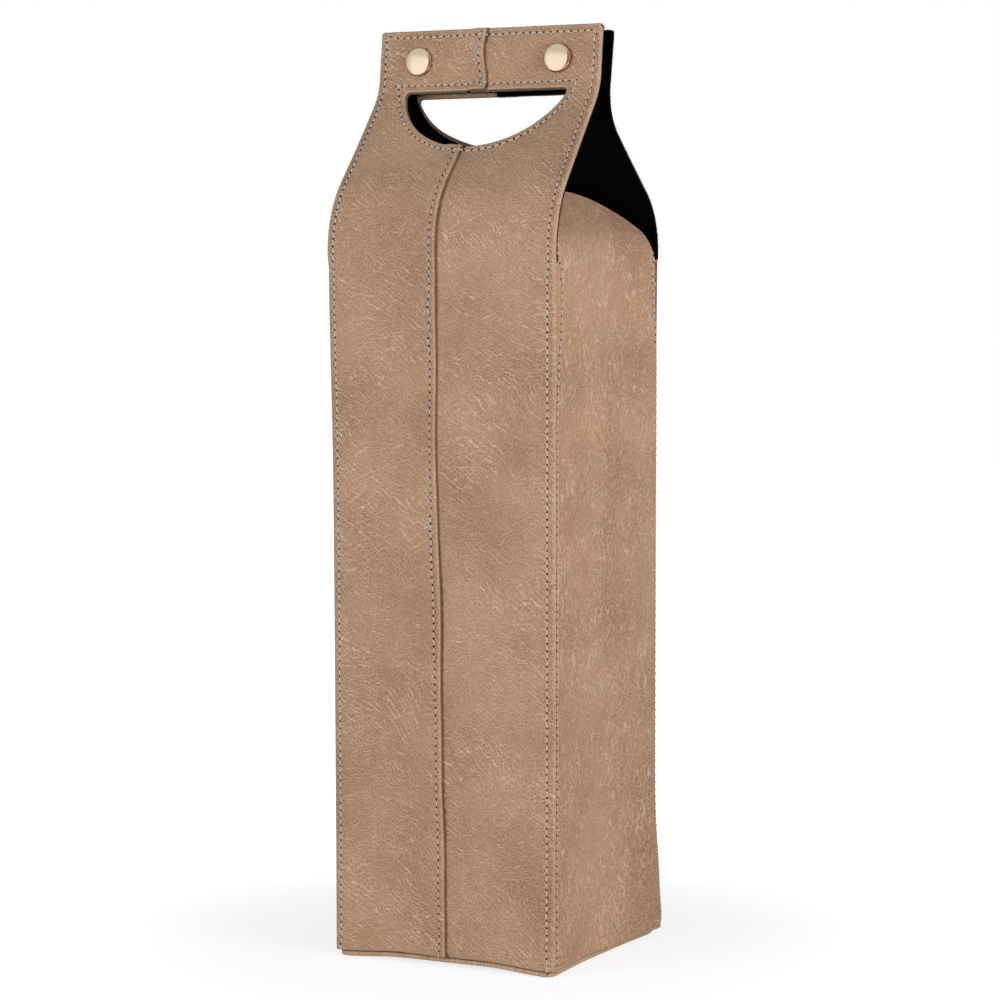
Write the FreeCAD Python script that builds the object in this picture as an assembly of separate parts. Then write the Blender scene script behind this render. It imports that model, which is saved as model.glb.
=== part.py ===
"""A carrier for one bottle: a tall square bag of leather over board, lined with felt.

The front and back panels run up past the mouth, lean in over it and end in a grip bar above a
half-moon hand hole. Two press studs on the bars hold them together. The side panels end in
rounded tongues that lean in over the bottle's shoulders. The mouth stands a little open here.

Frame: +Z up, origin on the floor under the middle of the base, front facing -Y, right side at +X.
Left and right are those of a person who looks at the front. Millimetres and degrees.
"""

import FreeCAD
import Part

import math
import os

from FreeCAD import Placement, Rotation, Vector

# Body
BODY_WIDTH = 100.0
LEATHER = 1.2
BOARD = 0.8
FELT = 1.6
TURNED_EDGE = 2.0          # leather folded round the edge of the board
BASE_WIDTH = 97.0
BASE_CORNER = 4.0
BASE_PANEL = 1.9
BASE_BOARD = 2.0

# Front and back panels, measured on their outer face. The back one leans in further.
SHOULDER_HEIGHT = 287.0    # where the panels start to lean in
SHOULDER_RADIUS = 45.0
NECK_LEAN = 40.0
NECK_RUN = 41.8
BAR_RUN = 19.7
BACK_SHOULDER_RADIUS = 33.0
BACK_NECK_LEAN = 50.0
BACK_NECK_RUN = 35.8
BACK_BAR_RUN = 22.4
GRIP_RADIUS = 20.0
GRIP_HEIGHT = 25.8
BAR_LEAN = 8.0             # of both grip bars towards the back when they are shut
CLOSING_ANGLE = 1.2        # each flap turns in by this much to shut the press studs
TOP_CORNER = 1.2
FOLD_GAP = 1.4             # leather left out at a fold line, for the fold to turn

# Hand hole: a half moon under the grip bar
HOLE_WIDTH = 73.5
HOLE_DEPTH = 29.4
BACK_HOLE_DEPTH = 27.0
HOLE_CORNER = 1.6

# Overlapping seam down the middle of the front and back panels
LAP_EDGE = 0.3             # the free edge of the upper half, beyond the middle line
LAP_START = -6.5           # where the upper half steps up over the lower one
LAP_JOINT = 0.2

# Side tongues
SIDE_HEIGHT = 283.0        # end of the corner seams, where the side panels start to lean in
TONGUE_RADIUS = 20.0
TONGUE_LEAN = 46.0
TONGUE_REACH = 37.0
TONGUE_HALF_WIDTH = 45.5

# Press studs
STUD_SPACING = 62.8
STUD_DROP = 13.4           # down from the top of the front bar
CAP_RADIUS = 6.25
CAP_HEIGHT = 1.7
CAP_WALL = 0.5
TUBE_RADIUS = 1.6
TUBE_BORE = 1.1
TUBE_HOLE = 1.7
FELT_POCKET = 0.8          # how far socket and stud press into the felt
FLANGE_RADIUS = 5.0
FLANGE_PLATE = 0.5
SOCKET_PROUD = 2.4
SOCKET_BORE = 2.45
SOCKET_MOUTH = 3.1         # room for a knob that comes in off the middle
STUD_FLANGE_PROUD = 0.5
STUD_PROUD = 2.65
STUD_NECK = 1.45
STUD_HEAD = 1.85
STUD_HEAD_LENGTH = 1.1
SPRING_WIRE = 0.3
SPRING_OFFSET = 1.95
SPRING_GROOVE = 0.8
POST_RADIUS = 5.0
POST_HEIGHT = 1.1

# Worked out from the above
HALF = BODY_WIDTH / 2
WALL = LEATHER + BOARD + FELT
SKIN = (0.0, LEATHER)
TURNED = (0.0, LEATHER + BOARD)
CORE = (LEATHER, LEATHER + BOARD)
LINING = (LEATHER + BOARD, WALL)
BOARD_HALF = HALF - TURNED_EDGE
INSIDE = HALF - WALL
BASE_BOARD_TOP = BASE_PANEL + BASE_BOARD
STUD_SIDES = {"left": -STUD_SPACING / 2, "right": STUD_SPACING / 2}
FAR = 500.0


class Profile:
    """A panel's outer line seen from its edge: straight runs and tangent arcs, from the bottom up.

    A station is a length along that line, and a depth goes in from it towards the bag's inside.
    """

    def __init__(self, foot, runs):
        """Runs are (length, radius) pairs: no radius is straight, a positive one turns inwards."""
        self.pieces = []
        station, place, lean = 0.0, foot, 0.0
        for length, radius in runs:
            self.pieces.append((station, station + length, place, lean, radius))
            place, lean = self.along(place, lean, radius, length)
            station += length
        self.length = station

    @staticmethod
    def along(place, lean, radius, length):
        """Place and lean after a length of one run."""
        y, z = place
        if radius is None:
            return (y + length * math.sin(lean), z + length * math.cos(lean)), lean
        end = lean + length / radius
        y += radius * (math.cos(lean) - math.cos(end))
        z += radius * (math.sin(end) - math.sin(lean))
        return (y, z), end

    def piece(self, station):
        """The run that holds a station."""
        for run in self.pieces:
            if station <= run[1] + 1e-9:
                return run
        return self.pieces[-1]

    def lean(self, station):
        """The lean at a station, in radians from upright."""
        start, _, place, lean, radius = self.piece(station)
        return self.along(place, lean, radius, station - start)[1]

    def point(self, station, depth=0.0):
        """The point at a station and depth, in the plane X = 0."""
        start, _, place, lean, radius = self.piece(station)
        (y, z), lean = self.along(place, lean, radius, station - start)
        return Vector(0, y + depth * math.cos(lean), z - depth * math.sin(lean))

    def edges(self, low, high, depth):
        """Lines and arcs from one station to another at a depth."""
        marks = [low, *[p[1] for p in self.pieces if low < p[1] < high - 1e-9], high]
        made = []
        for a, b in zip(marks, marks[1:]):
            first, middle, last = (self.point(s, depth) for s in (a, (a + b) / 2, b))
            straight = self.piece((a + b) / 2)[4] is None
            curve = Part.LineSegment(first, last) if straight else Part.Arc(first, middle, last)
            made.append(curve.toShape())
        return made

    def frame(self, station, x=0.0, depth=0.0):
        """A placement at a station: its Z points out of the panel and its Y up along it."""
        lean = math.degrees(self.lean(station))
        place = self.point(station, depth) + Vector(x, 0, 0)
        return Placement(place, Rotation(Vector(1, 0, 0), 90 - lean))


def arc_length(radius, angle):
    """The length of an arc of that many degrees."""
    return radius * math.radians(angle)


def sheet(profile, stations, depths, across):
    """A layer of a panel between two stations, two depths and two places across its width."""
    low, high = stations
    edges = profile.edges(low, high, depths[0]) + profile.edges(low, high, depths[1])
    for station in stations:
        outer, inner = (profile.point(station, depth) for depth in depths)
        edges.append(Part.LineSegment(outer, inner).toShape())
    face = Part.Face(Part.Wire(Part.__sortEdges__(edges)))
    solid = face.extrude(Vector(across[1] - across[0], 0, 0))
    solid.translate(Vector(across[0], 0, 0))
    return solid


def turned(shape, angle):
    """A copy of a shape, turned about the upright axis through the origin."""
    copy = shape.copy()
    copy.rotate(Vector(0, 0, 0), Vector(0, 0, 1), angle)
    return copy


def base_slab(half, corner, low, high):
    """A square slab with rounded corners between two heights."""
    slab = Part.makeBox(2 * half, 2 * half, high - low, Vector(-half, -half, low))
    corners = [e for e in slab.Edges if abs(e.Vertexes[0].Z - e.Vertexes[1].Z) > 0.1]
    return slab.makeFillet(corner, corners)


class Panel(Profile):
    """The line of the front or back panel, drawn at the front, with the stations that matter on it."""

    def __init__(self, shoulder_radius, neck_lean, neck_run, bar_lean, bar_run, hole_depth):
        super().__init__((-HALF, BASE_PANEL), [
            (SHOULDER_HEIGHT - BASE_PANEL, None),
            (arc_length(shoulder_radius, neck_lean), shoulder_radius),
            (neck_run, None),
            (arc_length(GRIP_RADIUS, neck_lean - bar_lean), -GRIP_RADIUS),
            (bar_run, None),
        ])
        self.fold = self.pieces[1][0] + arc_length(shoulder_radius, neck_lean / 2)
        self.chord = self.length - GRIP_HEIGHT
        self.hole_depth = hole_depth
        self.stud = self.length - STUD_DROP
        self.hinge = SHOULDER_HEIGHT + shoulder_radius * math.tan(math.radians(neck_lean / 2))

    def shut(self, station, depth=0.0):
        """A point of the panel when its flap has turned in to shut the press studs."""
        hinge = Vector(0, -HALF, self.hinge)
        turn = Rotation(Vector(1, 0, 0), -CLOSING_ANGLE)
        return hinge + turn.multVec(self.point(station, depth) - hinge)

    def meet_studs(self, other):
        """Moves the press studs along the bar to face those of the other panel when both are shut."""
        there = other.shut(other.stud)
        lean = self.lean(self.length) + math.radians(CLOSING_ANGLE)
        way = Vector(0, -there.y, there.z) - self.shut(self.stud)
        self.stud += way.y * math.sin(lean) + way.z * math.cos(lean)


# The profiles, and the stations that matter on a side panel
FRONT = Panel(SHOULDER_RADIUS, NECK_LEAN, NECK_RUN, BAR_LEAN - CLOSING_ANGLE, BAR_RUN, HOLE_DEPTH)
BACK = Panel(BACK_SHOULDER_RADIUS, BACK_NECK_LEAN, BACK_NECK_RUN, -BAR_LEAN - CLOSING_ANGLE, BACK_BAR_RUN,
             BACK_HOLE_DEPTH)
BACK.meet_studs(FRONT)

TONGUE_ARC = arc_length(TONGUE_RADIUS, TONGUE_LEAN)
TONGUE = Profile((-HALF, BASE_PANEL), [
    (SIDE_HEIGHT - BASE_PANEL, None),
    (TONGUE_ARC, TONGUE_RADIUS),
    (TONGUE_REACH - TONGUE_ARC, None),
])
TONGUE_START = TONGUE.pieces[1][0]
TONGUE_FOLD = TONGUE_START + TONGUE_ARC / 2
TONGUE_HINGE = SIDE_HEIGHT + TONGUE_RADIUS * math.tan(math.radians(TONGUE_LEAN / 2))


def hand_hole(panel, grow=0.0):
    """The half moon, as a prism square to the panel a third of the way down. It can be grown on all sides."""
    plane = panel.frame(panel.chord - panel.hole_depth / 3)
    up = plane.Rotation.multVec(Vector(0, 1, 0))
    ends = panel.chord, panel.chord - panel.hole_depth
    top, low = ((panel.point(station) - plane.Base).dot(up) for station in ends)
    radius = (HOLE_WIDTH ** 2 / 4 + (top - low) ** 2) / (2 * (top - low))
    half = math.sqrt((radius + grow) ** 2 - (low + radius - top - grow) ** 2)
    left, right = Vector(-half, top + grow, 0), Vector(half, top + grow, 0)
    chord = Part.LineSegment(left, right).toShape()
    moon = Part.Arc(right, Vector(0, low - grow, 0), left).toShape()
    prism = Part.Face(Part.Wire([chord, moon])).extrude(Vector(0, 0, 8 * WALL))
    corners = [e for e in prism.Edges if abs(e.Vertexes[0].Z - e.Vertexes[-1].Z) > 0.1]
    prism = prism.makeFillet(HOLE_CORNER, corners)
    prism.translate(Vector(0, 0, -3 * WALL))
    prism.Placement = plane.multiply(prism.Placement)
    return prism


def round_top(flap, half_width):
    """Rounds the two upper corners of a flap's layer."""
    top = max(v.Z for v in flap.Vertexes)
    corners = []
    for edge in flap.Edges:
        ends = [v.Point for v in edge.Vertexes]
        short = len(ends) == 2 and abs(ends[0].x - ends[1].x) < 1e-6 and edge.Length < WALL
        if short and min(p.z for p in ends) > top - 1.0 and abs(abs(ends[0].x) - half_width) < 1e-6:
            corners.append(edge)
    return flap.makeFillet(TOP_CORNER, corners)


def stud_hole(panel, x, radius, depths):
    """A round hole through the bar at a press stud, between two depths."""
    hole = Part.makeCylinder(radius, depths[1] - depths[0])
    hole.translate(Vector(0, 0, -depths[1]))
    hole.Placement = panel.frame(panel.stud, x).multiply(hole.Placement)
    return hole


def half_slab(low, high):
    """Everything between two places across the width."""
    return Part.makeBox(high - low, FAR, FAR, Vector(low, -FAR / 2, -FAR / 10))


def lapped_halves(block, board, lap):
    """The two leather halves of a panel: the left one laps over the right one down the middle."""
    leather = block.cut(board)
    upper = leather.common(half_slab(-FAR, LAP_START)).fuse(lap).removeSplitter()
    lower = leather.common(half_slab(LAP_START + LAP_JOINT, FAR))
    return upper, lower


def lap_strip(panel, stations):
    """The strip of the upper half that lies on the lower half, as far as its free edge."""
    return sheet(panel, stations, (-LEATHER, 0.0), (LAP_START - LEATHER, LAP_EDGE))


def panel_body(panel):
    """Leather halves, board and lining of a panel below its fold."""
    stations = (0.0, panel.fold - FOLD_GAP / 2)
    board_stations = (TURNED_EDGE, stations[1])
    board = sheet(panel, board_stations, CORE, (-BOARD_HALF, BOARD_HALF))
    block = sheet(panel, stations, TURNED, (-HALF, HALF))
    upper, lower = lapped_halves(block, board, lap_strip(panel, stations))
    lining = sheet(panel, stations, LINING, (-INSIDE, INSIDE))
    return {"upper_panel": upper, "lower_panel": lower, "board": board, "lining": lining}


def panel_flap(panel):
    """Leather halves, board and lining of a panel's flap: neck, hand hole and grip bar."""
    stations = (panel.fold + FOLD_GAP / 2, panel.length)
    board_stations = (stations[0], panel.length - TURNED_EDGE)
    hole = hand_hole(panel)
    board = sheet(panel, board_stations, CORE, (-BOARD_HALF, BOARD_HALF)).cut(hand_hole(panel, TURNED_EDGE))
    block = round_top(sheet(panel, stations, TURNED, (-HALF, HALF)), HALF).cut(hole)
    upper, lower = lapped_halves(block, board, lap_strip(panel, stations).cut(hole))
    lining = round_top(sheet(panel, stations, LINING, (-HALF, HALF)), HALF).cut(hole)
    layers = {"upper_flap": upper, "lower_flap": lower, "flap_board": board, "flap_lining": lining}
    for x in STUD_SIDES.values():
        through = stud_hole(panel, x, TUBE_HOLE, (-LEATHER, WALL + LEATHER))
        layers = {name: layer.cut(through) for name, layer in layers.items()}
        pocket = stud_hole(panel, x, FLANGE_RADIUS, (WALL - FELT_POCKET, WALL + LEATHER))
        layers["flap_lining"] = layers["flap_lining"].cut(pocket)
    return layers


def tongue_outline():
    """A half ellipse that stands square to the leaning tongue, cut off below its fold."""
    ellipse = Part.Ellipse(Vector(0, 0, 0), TONGUE_HALF_WIDTH, TONGUE_REACH).toShape()
    prism = Part.Face(Part.Wire([ellipse])).extrude(Vector(0, 0, FAR))
    prism.translate(Vector(0, 0, -FAR / 2))
    prism.translate(Vector(0, -TONGUE_REACH, 0))
    prism.Placement = TONGUE.frame(TONGUE.length).multiply(prism.Placement)
    return prism


def side_wall():
    """Leather, board and lining of a side panel, built as a front one. The board stops below the fold."""
    flat = (0.0, TONGUE_START)
    shoulder = (TONGUE_START, TONGUE_FOLD - FOLD_GAP / 2)
    leather_half = HALF - LEATHER - BOARD
    shoulder_width = (-TONGUE_HALF_WIDTH, TONGUE_HALF_WIDTH)
    board = sheet(TONGUE, (TURNED_EDGE, TONGUE_START - TURNED_EDGE), CORE, (-leather_half, leather_half))
    panel = sheet(TONGUE, flat, TURNED, (-leather_half, leather_half)).cut(board)
    panel = panel.fuse(sheet(TONGUE, shoulder, TURNED, shoulder_width)).removeSplitter()
    lining = sheet(TONGUE, flat, LINING, (-INSIDE, INSIDE))
    lining = lining.fuse(sheet(TONGUE, shoulder, LINING, shoulder_width)).removeSplitter()
    return {"side_panel": panel, "side_board": board, "side_lining": lining}


def side_tongue():
    """Leather and lining of a tongue, built on a front panel."""
    stations = (TONGUE_FOLD + FOLD_GAP / 2, TONGUE.length)
    across = (-TONGUE_HALF_WIDTH, TONGUE_HALF_WIDTH)
    outline = tongue_outline()
    return {
        "tongue_panel": sheet(TONGUE, stations, TURNED, across).common(outline),
        "tongue_lining": sheet(TONGUE, stations, LINING, across).common(outline),
    }


def revolved(outline):
    """A turned piece about its Z axis, from the (radius, height) corners of its section."""
    corners = [Vector(radius, 0, height) for radius, height in outline]
    section = Part.Face(Part.makePolygon([*corners, corners[0]]))
    return section.revolve(Vector(0, 0, 0), Vector(0, 0, 1), 360)


def rivet_tube():
    """The tube under a cap or post, through the bar to the plate inside, with its end rolled over."""
    plate_top = -(WALL - FELT_POCKET) - FLANGE_PLATE
    roll = TUBE_RADIUS + 0.6
    end = plate_top - 0.3
    return [(TUBE_RADIUS, plate_top), (roll, plate_top), (roll, end), (TUBE_BORE, end)]


def snap_cap():
    """A flat-topped cap with a bevelled rim on its rivet tube, hollow inside. Z = 0 is the panel's outer face."""
    shoulder = CAP_RADIUS * 0.78
    inner = CAP_HEIGHT - CAP_WALL
    return revolved([
        (0.0, CAP_HEIGHT),
        (shoulder, CAP_HEIGHT - 0.1),
        (CAP_RADIUS - 0.4, CAP_HEIGHT - 0.55),
        (CAP_RADIUS, CAP_HEIGHT - 1.1),
        (CAP_RADIUS, 0.25),
        (CAP_RADIUS - 0.25, 0.0),
        (CAP_RADIUS - CAP_WALL - 0.3, 0.0),
        (shoulder - CAP_WALL, inner - 0.2),
        (TUBE_RADIUS, inner - 0.2),
        *rivet_tube(),
        (TUBE_BORE, inner),
        (0.0, inner),
    ])


def snap_socket():
    """The female half inside the front bar: a cup with a sprung mouth."""
    base = -(WALL - FELT_POCKET)
    rim = -(WALL + SOCKET_PROUD)
    groove = spring_height()
    return revolved([
        (TUBE_RADIUS, base),
        (FLANGE_RADIUS - 0.05, base),
        (FLANGE_RADIUS - 0.05, rim + 1.0),
        (FLANGE_RADIUS - 1.0, rim),
        (SOCKET_MOUTH, rim),
        (SOCKET_MOUTH, groove - SPRING_GROOVE / 2),
        (SOCKET_BORE + 0.9, groove - SPRING_GROOVE / 2),
        (SOCKET_BORE + 0.9, groove + SPRING_GROOVE / 2),
        (SOCKET_BORE, groove + SPRING_GROOVE / 2),
        (SOCKET_BORE, base - FLANGE_PLATE),
        (TUBE_RADIUS, base - FLANGE_PLATE),
    ])


def spring_height():
    """The height of the spring wires in the socket, just behind its rim."""
    return -(WALL + SOCKET_PROUD) + SPRING_GROOVE / 2 + 0.2


def snap_spring():
    """Two straight spring wires across the socket's mouth, held in its groove."""
    reach = math.sqrt((SOCKET_BORE + 0.85) ** 2 - (SPRING_OFFSET + SPRING_WIRE) ** 2)
    wires = []
    for x in (-SPRING_OFFSET, SPRING_OFFSET):
        foot = Vector(x, -reach, spring_height())
        wires.append(Part.makeCylinder(SPRING_WIRE, 2 * reach, foot, Vector(0, 1, 0)))
    return Part.makeCompound(wires)


def snap_stud():
    """The male half inside the back bar: a flange with a headed knob."""
    base = -(WALL - FELT_POCKET)
    face = -(WALL + STUD_FLANGE_PROUD)
    tip = -(WALL + STUD_PROUD)
    head = tip + STUD_HEAD_LENGTH
    hollow = base - FLANGE_PLATE
    return revolved([
        (TUBE_RADIUS, base),
        (FLANGE_RADIUS - 0.05, base),
        (FLANGE_RADIUS - 0.05, face + 0.4),
        (FLANGE_RADIUS - 0.45, face),
        (STUD_NECK, face),
        (STUD_NECK, head + 0.15),
        (STUD_HEAD, head - 0.35),
        (STUD_HEAD - 0.55, tip),
        (0.0, tip),
        (0.0, tip + 0.4),
        (STUD_NECK - 0.4, tip + 0.4),
        (STUD_NECK - 0.4, face),
        (TUBE_RADIUS + 0.7, face + 0.3),
        (TUBE_RADIUS + 0.7, hollow),
        (TUBE_RADIUS, hollow),
    ])


def snap_post():
    """The low bevelled head on the back bar's outer face, on its rivet tube."""
    return revolved([
        (0.0, POST_HEIGHT - 0.3),
        (TUBE_BORE, POST_HEIGHT - 0.3),
        (TUBE_BORE + 0.5, POST_HEIGHT),
        (POST_RADIUS - 1.2, POST_HEIGHT - 0.15),
        (POST_RADIUS, 0.0),
        (TUBE_RADIUS, 0.0),
        *rivet_tube(),
        (TUBE_BORE, -0.4),
        (0.0, -0.4),
    ])


def on_bar(piece, panel, x):
    """A press stud's piece, placed on a panel's bar."""
    placed = piece.copy()
    placed.Placement = panel.frame(panel.stud, x)
    return placed


def base_pieces():
    """The base from the outside in: leather-covered plate, board and lining."""
    return {
        "base_panel": base_slab(BASE_WIDTH / 2, BASE_CORNER, 0.0, BASE_PANEL),
        "base_board": base_slab(INSIDE, LEATHER, BASE_PANEL, BASE_BOARD_TOP),
        "base_lining": base_slab(INSIDE, LEATHER, BASE_BOARD_TOP, BASE_BOARD_TOP + FELT),
    }


def faces():
    """Front and back panels with their flaps. The back is made at the front and turned half way round."""
    made = {}
    for face, panel, angle, halves in (("front", FRONT, 0, ("left", "right")), ("back", BACK, 180, ("right", "left"))):
        for layer, shape in {**panel_body(panel), **panel_flap(panel)}.items():
            name = layer.replace("upper", halves[0]).replace("lower", halves[1])
            made[f"{face}_{name}"] = turned(shape, angle)
    return made


def sides():
    """Right and left side panels with their tongues, turned from a front one."""
    made = {}
    layers = {**side_wall(), **side_tongue()}
    for side, angle in (("right", 90), ("left", -90)):
        for layer, shape in layers.items():
            made[f"{side}_{layer}"] = turned(shape, angle)
    return made


def press_studs():
    """Caps, sockets and springs on the front bar, and studs and posts on the back one."""
    made = {}
    for side, x in STUD_SIDES.items():
        made[f"{side}_snap_cap"] = on_bar(snap_cap(), FRONT, x)
        made[f"{side}_snap_socket"] = on_bar(snap_socket(), FRONT, x)
        made[f"{side}_snap_springs"] = on_bar(snap_spring(), FRONT, x)
        made[f"{side}_snap_stud"] = turned(on_bar(snap_stud(), BACK, -x), 180)
        made[f"{side}_snap_post"] = turned(on_bar(snap_post(), BACK, -x), 180)
    return made


def main():
    os.makedirs("parts", exist_ok=True)
    pieces = {**base_pieces(), **faces(), **sides(), **press_studs()}
    for name, shape in pieces.items():
        shape.exportStep(f"parts/{name}.step")
        print(f"{name}: {shape.Volume / 1000:.2f} cm3, {len(shape.Solids)} solid, valid {shape.isValid()}")
    print(len(pieces), "nodes")
    for face, panel, sense in (("front", FRONT, 1), ("back", BACK, -1)):
        top, snap = panel.point(panel.length), panel.point(panel.stud)
        print(f"{face} bar: top at Y {sense * top.y:.2f}, Z {top.z:.2f}, studs at Y {sense * snap.y:.2f}, Z {snap.z:.2f}")
        print(f"{face} flap hinge at Y {-sense * HALF:.2f}, Z {panel.hinge:.3f}")
    print(f"tongue hinge at X {HALF:.2f}, Z {TONGUE_HINGE:.3f}")
    inner, outer = FRONT.shut(FRONT.stud, WALL), BACK.shut(BACK.stud, WALL)
    print(f"shut bars: {math.hypot(inner.y + outer.y, inner.z - outer.z):.2f} mm between the felts at the studs")


main()
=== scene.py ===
# %% [markdown]
# # A leather carrier for one bottle
#
# The carrier is a tall square sleeve of grained leather over board. Its front and back run up into two
# flaps with a hand hole, held together by gold press studs, and its sides end in arched tongues. Inside
# it is lined with black felt. This script gives a plain CAD model that real surface. The model comes in
# as a frame of named nodes on named bodies. What is hidden stays as it is: the metal inside the studs
# and the board of the base. The caps and every soft layer are made again here, on the same lines; the
# caps and the layers of the base are tied to the bodies.

# %% Load the frame
import math

import bpy
import numpy as np
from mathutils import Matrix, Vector, geometry


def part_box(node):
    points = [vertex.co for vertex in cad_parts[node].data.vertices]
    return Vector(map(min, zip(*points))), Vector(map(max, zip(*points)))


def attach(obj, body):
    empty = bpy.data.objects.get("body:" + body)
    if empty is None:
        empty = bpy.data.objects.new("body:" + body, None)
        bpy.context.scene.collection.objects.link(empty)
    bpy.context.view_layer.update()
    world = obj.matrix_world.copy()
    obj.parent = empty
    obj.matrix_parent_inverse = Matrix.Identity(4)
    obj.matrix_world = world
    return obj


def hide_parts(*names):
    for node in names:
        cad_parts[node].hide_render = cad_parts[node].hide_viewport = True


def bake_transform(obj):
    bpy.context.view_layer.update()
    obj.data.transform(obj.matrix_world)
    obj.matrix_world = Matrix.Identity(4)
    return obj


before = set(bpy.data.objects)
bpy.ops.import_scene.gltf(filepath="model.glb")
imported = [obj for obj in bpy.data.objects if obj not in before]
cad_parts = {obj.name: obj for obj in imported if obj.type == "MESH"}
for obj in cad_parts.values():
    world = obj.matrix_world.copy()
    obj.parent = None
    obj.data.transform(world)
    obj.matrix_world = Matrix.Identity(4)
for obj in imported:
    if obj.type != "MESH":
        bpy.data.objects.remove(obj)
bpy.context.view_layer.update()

# %% [markdown]
# ## Sizes
#
# Lengths are in millimetres, because the layers are a millimetre or two thick and such numbers are
# easy to read. They turn into Blender's metres in one place, where a mesh is made. What the frame can
# tell is read from it, and the rest is written down where it is first needed.

# %% Sizes
MM = 0.001
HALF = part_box("front_right_panel")[1].x / MM
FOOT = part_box("base_panel")[1].z / MM
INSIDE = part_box("base_lining")[1].x / MM

LEATHER, BOARD, FELT = 1.2, 0.8, 1.6
SKIN = LEATHER + BOARD                    # depth of a turned edge
WALL = SKIN + FELT
print(f"body {2 * HALF:.1f} mm wide, walls {WALL:.1f} mm thick")

# %% [markdown]
# ## The line of a panel
#
# Seen from its edge, a panel is one line: straight up the body, in over the shoulder, up the neck and
# back to upright in the grip bar. A place on it is a *station*, the length along the line from the
# bottom. Three numbers then place any point of any layer: across, station and depth. The panels could
# be bent with modifiers instead, but each layer would then bend a little differently. All the layers
# use this one class, so they stay parallel through every bend.

# %% The line of a panel
class PanelLine:
    """Straight runs and tangent arcs from the foot of a wall to the end of its flap."""

    def __init__(self, *runs):
        """A run is a length and a bend: the change of lean over that length."""
        self.starts, y, z, lean, station = [], -HALF, FOOT, 0.0, 0.0
        for length, bend in runs:
            self.starts.append((station, y, z, lean, bend / length))
            y, z, lean = self.follow(y, z, lean, bend / length, length)
            station += length
        self.length = station

    @staticmethod
    def follow(y, z, lean, curvature, length):
        """Place and lean after a length of one run."""
        end = lean + curvature * length
        if curvature == 0:
            return y + length * np.sin(lean), z + length * np.cos(lean), end
        y = y + (np.cos(lean) - np.cos(end)) / curvature
        return y, z + (np.sin(end) - np.sin(lean)) / curvature, end

    def place(self, across, station, depth):
        """Points on the front of the bag, at depths measured in from the line."""
        y, z, lean = (np.zeros(len(station)) for _ in range(3))
        for start, *begin in self.starts:
            here = station >= start if start else np.ones(len(station), bool)
            found = self.follow(*begin, station[here] - start)
            y[here], z[here], lean[here] = found
        return np.column_stack([across, y + depth * np.cos(lean), z - depth * np.sin(lean)])


upright = PanelLine((100.0, 0.0))
print("10 mm across, 100 mm up and 2 mm deep:", *upright.place(np.array([10.0]), np.array([100.0]), 2.0))

# %% [markdown]
# ## Four lines
#
# The front and back panels lean in over the bottle and stand up again in their grip bars. The back one
# leans further, so that both bars meet. Below each bar a half moon is cut out for the hand. The line
# keeps its place too, because leather, felt and stitches all ask for it. A side panel has a simpler
# line: its tongue is one bend and a short straight run.

# %% Four lines
SHOULDER_HEIGHT, GRIP_RADIUS, GRIP_HEIGHT, HOLE_WIDTH = 287.0, 20.0, 25.8, 73.5
SIDE_HEIGHT, TONGUE_RADIUS, TONGUE_LEAN, TONGUE_REACH = 283.0, 20.0, math.radians(46), 37.0
SEAM_END = SIDE_HEIGHT - FOOT             # where the corner seams end and the tongues begin


def panel_line(shoulder_radius, neck_lean, neck_run, bar_lean, bar_run, hole_depth):
    """The line of a front or back panel, with the place and size of the half moon cut in it."""
    lean, back = math.radians(neck_lean), math.radians(neck_lean - bar_lean)
    line = PanelLine(
        (SHOULDER_HEIGHT - FOOT, 0.0), (shoulder_radius * lean, lean), (neck_run, 0.0),
        (GRIP_RADIUS * back, -back), (bar_run, 0.0))
    line.chord = line.length - GRIP_HEIGHT
    line.hole_low = line.chord - hole_depth
    line.moon = (HOLE_WIDTH ** 2 / 4 + hole_depth ** 2) / (2 * hole_depth)
    line.centre = line.hole_low + line.moon
    return line


tongue_bend = TONGUE_RADIUS * TONGUE_LEAN
tongue = PanelLine((SEAM_END, 0.0), (tongue_bend, TONGUE_LEAN), (TONGUE_REACH - tongue_bend, 0.0))
LINES = {
    "front": panel_line(shoulder_radius=45.0, neck_lean=40.0, neck_run=41.8,
                        bar_lean=6.8, bar_run=19.7, hole_depth=29.4),
    "back": panel_line(shoulder_radius=33.0, neck_lean=50.0, neck_run=35.8,
                       bar_lean=-9.2, bar_run=22.4, hole_depth=27.0),
    "right": tongue, "left": tongue}
FACES, SIDES = ("front", "back"), ("right", "left")
for side, line in LINES.items():
    print(f"{side} panel {line.length:.1f} mm long")

# %% [markdown]
# ## Curves to cut along
#
# The leather pieces are cut flat, so their outlines are drawn flat: across and station. Two curves on
# them need care. The hand hole is a half moon with small round corners. The lap, where one half of a
# panel lies on the other, runs by eye: it drifts to one side, comes back over the hand hole and waves
# by a few tenths of a millimetre. A straight line there would look printed, not sewn.

# %% Curves to cut along
HOLE_CORNER = 1.6


def smooth(low, high, value):
    """Zero below low, one above high and an easy change between."""
    t = np.clip((value - low) / (high - low), 0, 1)
    return t * t * (3 - 2 * t)


def arc(centre, radius, start, stop, steps=24):
    """Points on an arc between two angles in degrees. Two radii make an ellipse."""
    angles = np.radians(np.linspace(start, stop, steps))
    radii = np.broadcast_to(radius, 2)
    return np.array(centre) + radii * np.column_stack([np.cos(angles), np.sin(angles)])


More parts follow.
